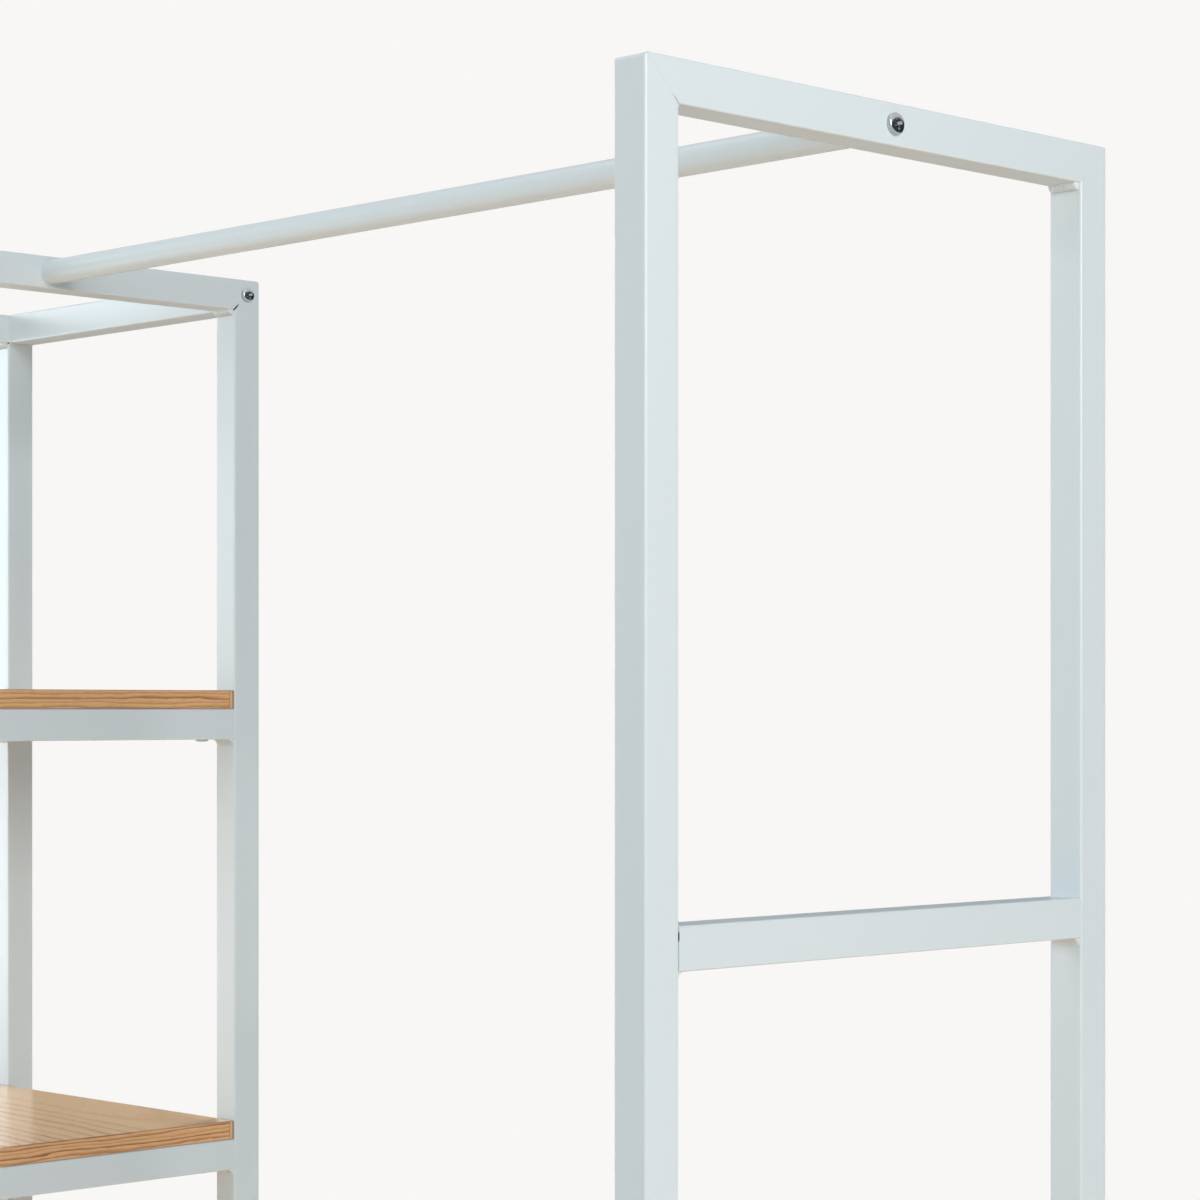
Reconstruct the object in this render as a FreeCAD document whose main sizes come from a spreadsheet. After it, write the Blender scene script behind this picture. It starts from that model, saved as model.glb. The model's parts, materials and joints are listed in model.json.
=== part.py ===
# Open frame wardrobe: a shelf tower and a hanging bay on one steel tube frame, with oak boards.
# Millimetres. Origin on the floor under the middle, +X to the hanging end, +Y to the back, +Z up.
import FreeCAD, Part
import os

import Sketcher
from FreeCAD import Placement, Rotation, Vector

# Driving dimensions
SIZES = {
    # square tube of the frames
    "tube_side": 30,
    "tube_wall": 1.5,
    "tube_corner": 1.8,
    # rounding ground on the outer mitred corners, just off tangent, and fillet welds in the inner ones
    "corner_round": 4,
    "corner_off_tangent": 0.3,
    "weld_leg": 4.5,
    "weld_toe": 0.5,
    # the frames and the room between them
    "frame_depth": 475,
    "tower_width": 435,
    "bay_width": 1025,
    "shelf_opening": 373,
    "shelf_count": 4,
    "end_opening_count": 3,
    "bay_rail_inset": 90,
    # boards and their edge bands
    "board_thickness": 18,
    "board_gap": 0.8,
    "band_thickness": 1,
    "band_round": 0.5,
    # round hanging rail
    "rail_diameter": 22.4,
    "rail_wall": 1.5,
    # threaded plugs in the ends of rails and bars
    "plug_length": 25,
    "plug_clearance": 0.1,
    "thread_clearance": 0.1,
    # pan head bolts
    "bolt_hole_clearance": 0.3,
    "bolt_bite": 16,
    "rail_bolt_diameter": 8,
    "rail_bolt_head": 15.8,
    "frame_bolt_diameter": 6,
    "frame_bolt_head": 13.9,
    "bolt_head_rise": 4.2,
    "bolt_head_rim": 1.5,
    "recess_span_share": 0.52,
    "recess_width_share": 0.13,
    "recess_depth_share": 0.6,
    # screws that hold the boards down from below
    "screw_diameter": 4.5,
    "screw_head": 13,
    "screw_head_rise": 2.4,
    "screw_head_rim": 0.9,
    "screw_hole_clearance": 0.4,
    "screw_cover": 6,
    "screw_tip_room": 1,
    "screw_inset": 28,
    # levelling feet and the rivet nuts that carry them
    "pad_diameter": 28,
    "pad_top_diameter": 21,
    "pad_rise": 14.5,
    "pad_rim_rise": 5,
    "pad_edge": 1.2,
    "stud_diameter": 8,
    "stud_rise": 24,
    "stud_point": 1.2,
    "stud_flange": 13,
    "stud_flange_rise": 5,
    "stud_running_clearance": 0.05,
    "nut_diameter": 11,
    "nut_flange": 16,
    "nut_flange_rise": 1.5,
    "nut_rise": 15,
    # room beyond a solid for a cut
    "cut_overrun": 2,
}

# Places and sizes that follow from the driving dimensions
PLACES = {
    "tube_bore": "Sizes.tube_side - 2 * Sizes.tube_wall",
    "half_tube": "Sizes.tube_side / 2",
    "corner_centre": "Sizes.corner_round + Sizes.corner_off_tangent",
    "corner_radius": "sqrt(corner_centre ^ 2 + Sizes.corner_off_tangent ^ 2)",
    "corner_cut": "corner_centre - corner_radius * cos(45 deg)",
    "weld_length": "Sizes.tube_side - 2 * Sizes.tube_corner",
    "inner_depth": "Sizes.frame_depth - 2 * Sizes.tube_side",
    "post_y": "(Sizes.frame_depth - Sizes.tube_side) / 2",
    "half_depth": "Sizes.frame_depth / 2",
    "half_width": "(Sizes.tower_width + Sizes.bay_width + Sizes.tube_side) / 2",
    "end_x": "half_width - half_tube",
    "outer_x": "half_tube - half_width",
    "bay_start": "Sizes.tower_width - half_width",
    "inner_x": "bay_start - half_tube",
    "tower_x": "bay_start - Sizes.tower_width / 2",
    "cross_start": "outer_x + half_tube",
    "cross_length": "Sizes.tower_width - 2 * Sizes.tube_side",
    "shelf_pitch": "Sizes.shelf_opening + Sizes.board_thickness + Sizes.tube_side",
    "frame_rise": "Sizes.tube_side + Sizes.shelf_count * shelf_pitch",
    "frame_base": "Sizes.pad_rise + Sizes.nut_flange_rise",
    "frame_top": "frame_base + frame_rise",
    "top_bar_z": "frame_top - half_tube",
    "bottom_bar_z": "frame_base + half_tube",
    "end_pitch": "(frame_rise - Sizes.tube_side) / Sizes.end_opening_count",
    "bay_rail_y": "half_depth - Sizes.bay_rail_inset - half_tube",
    "bay_board_start": "bay_start + Sizes.board_gap",
    "bay_board_length": "half_width * 2 - Sizes.tower_width - Sizes.board_gap",
    "bay_board_x": "bay_board_start + bay_board_length / 2",
    "bay_board_z": "frame_base + Sizes.tube_side",
    "board_depth": "inner_depth - 2 * Sizes.board_gap",
    "rail_bore": "Sizes.rail_diameter - 2 * Sizes.rail_wall",
    "rail_plug": "rail_bore - 2 * Sizes.plug_clearance",
    "bar_plug": "tube_bore - 2 * Sizes.plug_clearance",
    "rail_bolt_hole": "Sizes.rail_bolt_diameter + 2 * Sizes.bolt_hole_clearance",
    "frame_bolt_hole": "Sizes.frame_bolt_diameter + 2 * Sizes.bolt_hole_clearance",
    "rail_bolt_thread": "Sizes.rail_bolt_diameter + 2 * Sizes.thread_clearance",
    "frame_bolt_thread": "Sizes.frame_bolt_diameter + 2 * Sizes.thread_clearance",
    "bolt_length": "Sizes.tube_side + Sizes.bolt_bite",
    "screw_hole": "Sizes.screw_diameter + 2 * Sizes.screw_hole_clearance",
    "screw_pilot": "Sizes.screw_diameter + 2 * Sizes.thread_clearance",
    "screw_bite": "Sizes.board_thickness - Sizes.screw_cover - Sizes.screw_tip_room",
    "screw_length": "Sizes.tube_side + screw_bite",
    "pilot_depth": "Sizes.board_thickness - Sizes.screw_cover",
    "screw_y": "inner_depth / 2 - Sizes.screw_inset",
    "tower_screw_x": "(Sizes.tower_width - Sizes.tube_side) / 2",
    "bay_screw_x": "bay_board_length / 2 - half_tube",
    "bay_rail_screw": "Sizes.screw_inset + half_tube",
    "bay_rail_screw_x": "Sizes.bay_width / 2 - bay_rail_screw",
    "foot_hole": "Sizes.nut_diameter + 2 * Sizes.plug_clearance",
    "nut_thread": "Sizes.stud_diameter + 2 * Sizes.stud_running_clearance",
    "pad_socket": "Sizes.stud_flange + 2 * Sizes.plug_clearance",
}

doc = FreeCAD.newDocument("OpenFrameWardrobe")
parts = {}


def fill_sheet(name, cells, lead):
    sheet = doc.addObject("Spreadsheet::Sheet", name)
    for row, (alias, content) in enumerate(cells.items(), start=1):
        sheet.set(f"A{row}", alias)
        sheet.set(f"B{row}", f"{lead}{content}")
        sheet.setAlias(f"B{row}", alias)
    doc.recompute()
    return sheet


sizes = fill_sheet("Sizes", SIZES, "")
fill_sheet("Places", PLACES, "=")


def value(expression):
    return float(sizes.evalExpression(expression))


def place(piece, x, y, z, turn=Rotation()):
    piece.Placement = Placement(Vector(), turn)
    for axis, expression in zip("xyz", (x, y, z)):
        piece.setExpression(f"Placement.Base.{axis}", expression)


def new_body(label):
    body = doc.addObject("PartDesign::Body", label)
    body.Label = label
    return body


def new_sketch(body, role, name):
    sketch = body.newObject("Sketcher::SketchObject", f"{body.Name}_{name}")
    plane = next(item for item in body.Origin.OriginFeatures if item.Role == role)
    sketch.AttachmentSupport = (plane, [""])
    sketch.MapMode = "FlatFace"
    return sketch


def dimension(sketch, kind, *where, size):
    index = sketch.addConstraint(Sketcher.Constraint(kind, *where, value(size)))
    sketch.setExpression(f"Constraints[{index}]", size)


def fix_point(sketch, item, point, across, along):
    for kind, axis, size in (("DistanceX", -2, across), ("DistanceY", -1, along)):
        if size == "0":
            sketch.addConstraint(Sketcher.Constraint("PointOnObject", item, point, axis))
        else:
            dimension(sketch, kind, -1, 1, item, point, size=size)


def circle(sketch, diameter, across, along):
    centre = Vector(value(across), value(along), 0)
    item = sketch.addGeometry(Part.Circle(centre, Vector(0, 0, 1), value(diameter) / 2), False)
    dimension(sketch, "Diameter", item, size=diameter)
    fix_point(sketch, item, 3, across, along)


def outline(sketch, corners, arc=None, arc_across="0"):
    """A closed outline through the corners. The edge numbered arc curves about a centre at arc_across."""
    points = [Vector(value(across), value(along), 0) for across, along in corners]
    first = sketch.GeometryCount
    count = len(points)
    ends = [(1, 2)] * count
    for step, start in enumerate(points):
        end = points[(step + 1) % count]
        if step == arc:
            across = Vector(value(arc_across), 0, 0)
            height = ((end - across).Length ** 2 - (start - across).Length ** 2) / (end.y - start.y) / 2
            centre = across + Vector(0, height, 0)
            middle = centre + ((start + end) / 2 - centre).normalize() * (end - centre).Length
            sketch.addGeometry(Part.Arc(start, middle, end), False)
            clockwise = (start - centre).cross(end - centre).z < 0
            ends[step] = (2, 1) if clockwise else (1, 2)
        else:
            sketch.addGeometry(Part.LineSegment(start, end), False)
    for step, (across, along) in enumerate(corners):
        following = (step + 1) % count
        meeting = (first + step, ends[step][1], first + following, ends[following][0])
        sketch.addConstraint(Sketcher.Constraint("Coincident", *meeting))
        fix_point(sketch, first + step, ends[step][0], across, along)
    if arc is None:
        return
    if arc_across == "0":
        sketch.addConstraint(Sketcher.Constraint("PointOnObject", first + arc, 3, -2))
    else:
        dimension(sketch, "DistanceX", -1, 1, first + arc, 3, size=arc_across)


def rectangle(sketch, width, depth):
    """A rectangle about the origin of the sketch."""
    signs = ((-1, -1), (1, -1), (1, 1), (-1, 1))
    outline(sketch, [(f"{a} * ({width}) / 2", f"{b} * ({depth}) / 2") for a, b in signs])


def rounded_square(sketch, side, corner):
    """A square about the origin of the sketch, with its four corners rounded."""
    half, radius = value(side) / 2, value(corner)
    first = sketch.GeometryCount
    for quarter in range(4):
        turn = Rotation(Vector(0, 0, 1), 90 * quarter)
        start = turn * Vector(radius - half, -half, 0)
        end = turn * Vector(half - radius, -half, 0)
        after = turn * Vector(half, radius - half, 0)
        centre = turn * Vector(half - radius, radius - half, 0)
        middle = centre + (turn * Vector(1, -1, 0)).normalize() * radius
        sketch.addGeometry(Part.LineSegment(start, end), False)
        sketch.addGeometry(Part.Arc(end, middle, after), False)
    for quarter in range(4):
        line, arc = first + 2 * quarter, first + 2 * quarter + 1
        following = first + (2 * quarter + 2) % 8
        sketch.addConstraint(Sketcher.Constraint("Tangent", line, 2, arc, 1))
        sketch.addConstraint(Sketcher.Constraint("Tangent", arc, 2, following, 1))
        sketch.addConstraint(Sketcher.Constraint("Vertical" if quarter % 2 else "Horizontal", line))
        dimension(sketch, "Radius", arc, size=corner)
    fix_point(sketch, first, 1, f"{corner} - {side} / 2", f"-{side} / 2")
    fix_point(sketch, first + 4, 1, f"{side} / 2 - {corner}", f"{side} / 2")


def pad(body, sketch, length):
    feature = body.newObject("PartDesign::Pad", f"{sketch.Name}_pad")
    feature.Profile = sketch
    feature.setExpression("Length", length)
    return feature


def cut_through(body, sketch):
    feature = body.newObject("PartDesign::Pocket", f"{sketch.Name}_cut")
    feature.Profile = sketch
    feature.Type = "ThroughAll"
    feature.SideType = "Symmetric"


def cut_forward(body, sketch, depth):
    """Cuts to the side that the sketch faces."""
    feature = body.newObject("PartDesign::Pocket", f"{sketch.Name}_cut")
    feature.Profile = sketch
    feature.Reversed = True
    feature.setExpression("Length", depth)


def revolve(body, sketch):
    feature = body.newObject("PartDesign::Revolution", f"{sketch.Name}_turned")
    feature.Profile = sketch
    feature.ReferenceAxis = (sketch, ["V_Axis"])


# Square tubes run up their own Z axis. A mitred one has its long side at its own -Y.
UPRIGHT_FRONT = Rotation()
UPRIGHT_REAR = Rotation(Vector(0, 0, 1), 180)
BAR_TOP = Rotation(Vector(1, 0, 0), -90)
BAR_BOTTOM = Rotation(Vector(1, 0, 0), 90)
BAR_ACROSS = Rotation(Vector(0, 1, 0), 90).multiply(Rotation(Vector(0, 0, 1), 90))


def square_tube(label, length):
    body = new_body(label)
    section = new_sketch(body, "XY_Plane", "section")
    rounded_square(section, "Sizes.tube_side", "Sizes.tube_corner")
    rectangle(section, "Places.tube_bore", "Places.tube_bore")
    pad(body, section, length)
    parts[label] = body
    return body


def mitre_both_ends(body, length):
    """Cuts both ends at 45 degrees and rounds the tip of each cut, which is half of an outer corner."""
    over, rounding, cut = "Sizes.cut_overrun", "Sizes.corner_round", "Places.corner_cut"
    outer, inner = "-Places.half_tube", "Places.half_tube"
    mitres = new_sketch(body, "YZ_Plane", "mitres")
    for end, inwards in (("0 * Sizes.tube_side", "+"), (length, "-")):
        outwards = "-" if inwards == "+" else "+"
        corners = [
            (f"{outer} - {over}", f"{end} {outwards} {over}"),
            (f"{inner} + {over}", f"{end} {outwards} {over}"),
            (f"{inner} + {over}", f"{end} {inwards} (Sizes.tube_side + {over})"),
            (f"{outer} + {cut}", f"{end} {inwards} {cut}"),
            (outer, f"{end} {inwards} {rounding}"),
            (f"{outer} - {over}", f"{end} {inwards} {rounding}"),
        ]
        outline(mitres, corners, arc=3, arc_across=f"{outer} + Places.corner_centre")
    cut_through(body, mitres)


def bolt_holes(body, diameter, stations):
    """Holes along the tube's own X, through both walls."""
    holes = new_sketch(body, "YZ_Plane", "bolt_holes")
    for station in stations:
        circle(holes, diameter, "0", station)
    cut_through(body, holes)


def screw_holes(body, stations):
    """Holes along the tube's own Y, through both walls."""
    holes = new_sketch(body, "XZ_Plane", "screw_holes")
    for station in stations:
        circle(holes, "Places.screw_hole", "0", station)
    cut_through(body, holes)


def foot_holes(body, stations):
    """Holes for the rivet nuts, through the wall at the tube's own -Y only."""
    holes = new_sketch(body, "XZ_Plane", "foot_holes")
    for station in stations:
        circle(holes, "Places.foot_hole", "0", station)
    cut_forward(body, holes, "Places.half_tube + Sizes.cut_overrun")


CORNER_STATIONS = ["Places.half_tube", "Sizes.frame_depth - Places.half_tube"]
SCREW_STATIONS = ["Sizes.screw_inset", "Places.inner_depth - Sizes.screw_inset"]
BOTTOM_SCREW_STATIONS = [f"{station} + Sizes.tube_side" for station in SCREW_STATIONS]
BAY_RAIL_STATIONS = ["Places.half_depth - Places.bay_rail_y", "Places.half_depth + Places.bay_rail_y"]
BAY_RAIL_SCREWS = ["Places.bay_rail_screw", "Sizes.bay_width - Places.bay_rail_screw"]
TOP_CORNER = "Places.frame_rise - Places.half_tube"


def uprights(frame, x):
    posts = []
    for side, sign, turn in (("front", "-", UPRIGHT_FRONT), ("rear", "", UPRIGHT_REAR)):
        post = square_tube(f"{frame}_{side}_upright", "Places.frame_rise")
        mitre_both_ends(post, "Places.frame_rise")
        place(post, x, f"{sign}Places.post_y", "Places.frame_base", turn)
        posts.append(post)
    return posts


def top_bar(frame, x):
    bar = square_tube(f"{frame}_top_bar", "Sizes.frame_depth")
    mitre_both_ends(bar, "Sizes.frame_depth")
    place(bar, x, "-Places.half_depth", "Places.top_bar_z", BAR_TOP)
    return bar


def bottom_bar(frame, x):
    bar = square_tube(f"{frame}_bottom_bar", "Sizes.frame_depth")
    mitre_both_ends(bar, "Sizes.frame_depth")
    foot_holes(bar, CORNER_STATIONS)
    screw_holes(bar, BOTTOM_SCREW_STATIONS)
    place(bar, x, "Places.half_depth", "Places.bottom_bar_z", BAR_BOTTOM)
    return bar


def middle_bar(label, x, z):
    bar = square_tube(label, "Places.inner_depth")
    place(bar, x, "-Places.inner_depth / 2", z, BAR_TOP)
    return bar


def tower_frame(frame, x):
    """A ladder frame of the shelf tower, with bolt holes in its top corners."""
    for post in uprights(frame, x):
        bolt_holes(post, "Places.frame_bolt_hole", [TOP_CORNER])
    bar = top_bar(frame, x)
    bolt_holes(bar, "Places.frame_bolt_hole", CORNER_STATIONS)
    for number in range(1, SIZES["shelf_count"]):
        level = f"Places.top_bar_z - {number} * Places.shelf_pitch"
        shelf_bar = middle_bar(f"{frame}_shelf_bar_{number}", x, level)
        screw_holes(shelf_bar, SCREW_STATIONS)
    return bar, bottom_bar(frame, x)


def end_frame(frame, x):
    """The ladder frame at the open end of the hanging bay."""
    uprights(frame, x)
    for number in range(1, SIZES["end_opening_count"]):
        middle_bar(f"{frame}_cross_bar_{number}", x, f"Places.top_bar_z - {number} * Places.end_pitch")
    return top_bar(frame, x), bottom_bar(frame, x)


def hanging_bay_holes(top, bottom):
    holes = new_sketch(top, "YZ_Plane", "rail_hole")
    circle(holes, "Places.rail_bolt_hole", "0", "Places.half_depth")
    cut_through(top, holes)
    bolt_holes(bottom, "Places.frame_bolt_hole", BAY_RAIL_STATIONS)


tower_frame("outer", "Places.outer_x")
hanging_bay_holes(*tower_frame("inner", "Places.inner_x"))
hanging_bay_holes(*end_frame("end", "Places.end_x"))


def cross_bars():
    """Bars along X at the top of the tower, between its two frames."""
    for side, sign in (("front", "-"), ("rear", "")):
        bar = square_tube(f"tower_{side}_cross_bar", "Places.cross_length")
        place(bar, "Places.cross_start", f"{sign}Places.post_y", "Places.top_bar_z", BAR_ACROSS)


def bay_rails():
    """Bars along X under the long board of the hanging bay."""
    for side, sign in (("front", "-"), ("rear", "")):
        rail = square_tube(f"bay_{side}_rail", "Sizes.bay_width")
        screw_holes(rail, BAY_RAIL_SCREWS)
        place(rail, "Places.bay_start", f"{sign}Places.bay_rail_y", "Places.bottom_bar_z", BAR_ACROSS)


def hanging_rail():
    rail = new_body("hanging_rail")
    section = new_sketch(rail, "XY_Plane", "section")
    circle(section, "Sizes.rail_diameter", "0", "0")
    circle(section, "Places.rail_bore", "0", "0")
    pad(rail, section, "Sizes.bay_width")
    place(rail, "Places.bay_start", "0", "Places.top_bar_z", BAR_ACROSS)
    parts["hanging_rail"] = rail


cross_bars()
bay_rails()
hanging_rail()


def edge_names(shape):
    """The level edges round the outside of a board's edge band."""
    box = shape.BoundBox
    names = []
    for number, edge in enumerate(shape.Edges, start=1):
        span = edge.BoundBox
        level = span.ZLength < box.ZLength / 2
        outside = any(
            abs(end - wall) < value("Sizes.band_thickness") / 2
            for end, wall in (
                (span.XMin, box.XMax),
                (span.XMax, box.XMin),
                (span.YMin, box.YMax),
                (span.YMax, box.YMin),
            )
        )
        if level and outside:
            names.append(f"Edge{number}")
    return names


def board(label, width, x, z, screws):
    """A board with a band glued round its four edges, and blind pilot holes for its screws."""
    core = new_body(label)
    plan = new_sketch(core, "XY_Plane", "plan")
    both_bands = "2 * Sizes.band_thickness"
    rectangle(plan, f"{width} - {both_bands}", f"Places.board_depth - {both_bands}")
    pad(core, plan, "Sizes.board_thickness")
    pilots = new_sketch(core, "XY_Plane", "pilots")
    for across, along in screws:
        circle(pilots, "Places.screw_pilot", across, along)
    cut_forward(core, pilots, "Places.pilot_depth")
    band = new_body(f"{label}_edge_band")
    ring = new_sketch(band, "XY_Plane", "ring")
    rectangle(ring, width, "Places.board_depth")
    rectangle(ring, f"{width} - {both_bands}", f"Places.board_depth - {both_bands}")
    strip = pad(band, ring, "Sizes.board_thickness")
    doc.recompute()
    rounding = band.newObject("PartDesign::Fillet", f"{band.Name}_rounding")
    rounding.Base = (strip, edge_names(strip.Shape))
    rounding.setExpression("Radius", "Sizes.band_round")
    for piece in (core, band):
        place(piece, x, "0", z)
        parts[piece.Label] = piece


BOTH_SIDES = ("-", "")
TOWER_SCREWS = [
    (f"{across}Places.tower_screw_x", f"{along}Places.screw_y")
    for across in BOTH_SIDES
    for along in BOTH_SIDES
]
BAY_END_SCREWS = [("Places.bay_screw_x", f"{along}Places.screw_y") for along in BOTH_SIDES]
BAY_MIDDLE = "(Places.bay_start + Sizes.bay_width / 2)"
BAY_RAIL_PILOTS = [
    (f"{BAY_MIDDLE} - Places.bay_board_x {across} Places.bay_rail_screw_x", f"{along}Places.bay_rail_y")
    for across in ("-", "+")
    for along in BOTH_SIDES
]
BAY_SCREWS = BAY_END_SCREWS + BAY_RAIL_PILOTS


def shelf_level(number):
    return f"Places.frame_top - {number} * Places.shelf_pitch"


for number in range(1, SIZES["shelf_count"] + 1):
    board(f"shelf_{number}", "Sizes.tower_width", "Places.tower_x", shelf_level(number), TOWER_SCREWS)
board("bay_board", "Places.bay_board_length", "Places.bay_board_x", "Places.bay_board_z", BAY_SCREWS)


def pan_bolt(name, diameter, head, rise, rim, length):
    """A pan head bolt with a cross recess. Its head stands on its own XY plane and its shank points down."""
    body = new_body(name)
    profile = new_sketch(body, "XZ_Plane", "profile")
    radius, head_radius = f"{diameter} / 2", f"{head} / 2"
    corners = [("0", f"-{length}"), (radius, f"-{length}"), (radius, "0")]
    corners += [(head_radius, "0"), (head_radius, rim), ("0", rise)]
    outline(profile, corners, arc=4)
    revolve(body, profile)
    for number, (width, depth) in enumerate((("span", "width"), ("width", "span"))):
        slot = new_sketch(body, "XY_Plane", f"slot_{number}")
        slot.setExpression("AttachmentOffset.Base.z", f"{rise} * (1 - Sizes.recess_depth_share)")
        rectangle(slot, f"{head} * Sizes.recess_{width}_share", f"{head} * Sizes.recess_{depth}_share")
        cut_forward(body, slot, f"{rise} * Sizes.recess_depth_share + Sizes.cut_overrun")
    return body


def round_plug():
    body = new_body("rail_plug_pattern")
    section = new_sketch(body, "XY_Plane", "section")
    circle(section, "Places.rail_plug", "0", "0")
    circle(section, "Places.rail_bolt_thread", "0", "0")
    pad(body, section, "Sizes.plug_length")
    return body


def square_plug():
    body = new_body("bar_plug_pattern")
    section = new_sketch(body, "XY_Plane", "section")
    rectangle(section, "Places.bar_plug", "Places.bar_plug")
    circle(section, "Places.frame_bolt_thread", "0", "0")
    pad(body, section, "Sizes.plug_length")
    return body


def rivet_nut():
    """A rivet nut with its flange under the tube's wall. Its own XY plane is the wall's underside."""
    body = new_body("rivet_nut_pattern")
    profile = new_sketch(body, "XZ_Plane", "profile")
    bore, flange, shank = "Places.nut_thread / 2", "Sizes.nut_flange / 2", "Sizes.nut_diameter / 2"
    under = "-Sizes.nut_flange_rise"
    corners = [(bore, under), (flange, under), (flange, "0"), (shank, "0")]
    outline(profile, corners + [(shank, "Sizes.nut_rise"), (bore, "Sizes.nut_rise")])
    revolve(body, profile)
    return body


def weld_bead():
    """A fillet weld with a hollow face. Its legs run along its own Y and Z, and its length along X."""
    body = new_body("weld_pattern")
    profile = new_sketch(body, "YZ_Plane", "profile")
    leg, toe = "Sizes.weld_leg", "Sizes.weld_toe"
    outline(profile, [("0", "0"), (leg, "0"), (leg, toe), (toe, leg), ("0", leg)], arc=2, arc_across=leg)
    pad(body, profile, "Places.weld_length")
    return body


def group(label, pattern, stations):
    """Copies of one pattern piece as a group of separate solids."""
    copies = []
    for number, (x, y, z, turn) in enumerate(stations):
        copy = doc.addObject("App::Link", f"{label}_{number}")
        copy.LinkedObject = pattern
        place(copy, x, y, z, turn)
        copies.append(copy)
    compound = doc.addObject("Part::Compound", label)
    compound.Label = label
    compound.Links = copies
    parts[label] = compound


# Ways for a bolt's head or a plug's open end to face
FACE_RIGHT = Rotation(Vector(0, 1, 0), 90)
FACE_LEFT = Rotation(Vector(0, 1, 0), -90)
FACE_DOWN = Rotation(Vector(1, 0, 0), 180)

END_FACE = "Places.half_width"
BAY_END = "Places.half_width - Sizes.tube_side"
INNER_LEFT = "Places.bay_start - Sizes.tube_side"
OUTER_FACE = "-Places.half_width"

rail_bolt = pan_bolt(
    "rail_bolt_pattern",
    "Sizes.rail_bolt_diameter",
    "Sizes.rail_bolt_head",
    "Sizes.bolt_head_rise",
    "Sizes.bolt_head_rim",
    "Places.bolt_length",
)
frame_bolt = pan_bolt(
    "frame_bolt_pattern",
    "Sizes.frame_bolt_diameter",
    "Sizes.frame_bolt_head",
    "Sizes.bolt_head_rise",
    "Sizes.bolt_head_rim",
    "Places.bolt_length",
)
screw = pan_bolt(
    "screw_pattern",
    "Sizes.screw_diameter",
    "Sizes.screw_head",
    "Sizes.screw_head_rise",
    "Sizes.screw_head_rim",
    "Places.screw_length",
)
rail_plug = round_plug()
bar_plug = square_plug()
nut = rivet_nut()

group(
    "hanging_rail_bolts",
    rail_bolt,
    [
        (END_FACE, "0", "Places.top_bar_z", FACE_RIGHT),
        (INNER_LEFT, "0", "Places.top_bar_z", FACE_LEFT),
    ],
)
group(
    "hanging_rail_plugs",
    rail_plug,
    [
        (BAY_END, "0", "Places.top_bar_z", FACE_LEFT),
        ("Places.bay_start", "0", "Places.top_bar_z", FACE_RIGHT),
    ],
)
cross_ends = [(f"{side}Places.post_y", "Places.top_bar_z") for side in BOTH_SIDES]
group(
    "cross_bar_bolts",
    frame_bolt,
    [("Places.bay_start", y, z, FACE_RIGHT) for y, z in cross_ends]
    + [(OUTER_FACE, y, z, FACE_LEFT) for y, z in cross_ends],
)
group(
    "cross_bar_plugs",
    bar_plug,
    [(INNER_LEFT, y, z, FACE_LEFT) for y, z in cross_ends]
    + [("Places.cross_start", y, z, FACE_RIGHT) for y, z in cross_ends],
)
bay_ends = [(f"{side}Places.bay_rail_y", "Places.bottom_bar_z") for side in BOTH_SIDES]
group(
    "bay_rail_bolts",
    frame_bolt,
    [(END_FACE, y, z, FACE_RIGHT) for y, z in bay_ends]
    + [(INNER_LEFT, y, z, FACE_LEFT) for y, z in bay_ends],
)
group(
    "bay_rail_plugs",
    bar_plug,
    [(BAY_END, y, z, FACE_LEFT) for y, z in bay_ends]
    + [("Places.bay_start", y, z, FACE_RIGHT) for y, z in bay_ends],
)
group(
    "shelf_screws",
    screw,
    [
        (f"Places.tower_x + {x}", y, f"{shelf_level(number)} - Sizes.tube_side", FACE_DOWN)
        for number in range(1, SIZES["shelf_count"] + 1)
        for x, y in TOWER_SCREWS
    ],
)
group(
    "bay_board_screws",
    screw,
    [(f"Places.bay_board_x + {x}", y, "Places.frame_base", FACE_DOWN) for x, y in BAY_SCREWS],
)

# Welds run under the top bar and the middle bars, where no board comes in their way.
WELD_TURNS = (("-", Rotation(Vector(1, 0, 0), -90)), ("", Rotation(Vector(1, 0, 0), 180)))
WELDED_BARS = {
    "outer": ("Places.shelf_pitch", SIZES["shelf_count"]),
    "inner": ("Places.shelf_pitch", SIZES["shelf_count"]),
    "end": ("Places.end_pitch", SIZES["end_opening_count"]),
}
weld = weld_bead()
for frame, (pitch, bar_count) in WELDED_BARS.items():
    group(
        f"{frame}_frame_welds",
        weld,
        [
            (
                f"Places.{frame}_x - Places.weld_length / 2",
                f"{side}Places.inner_depth / 2",
                f"Places.frame_top - Sizes.tube_side - {number} * {pitch}",
                turn,
            )
            for number in range(bar_count)
            for side, turn in WELD_TURNS
        ],
    )

FOOT_SPOTS = {
    f"{frame}_{side}": (f"Places.{frame}_x", f"{sign}Places.post_y")
    for frame in ("outer", "inner", "end")
    for side, sign in (("front", "-"), ("rear", ""))
}
group("foot_nuts", nut, [(x, y, "Places.frame_base", Rotation()) for x, y in FOOT_SPOTS.values()])


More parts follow.
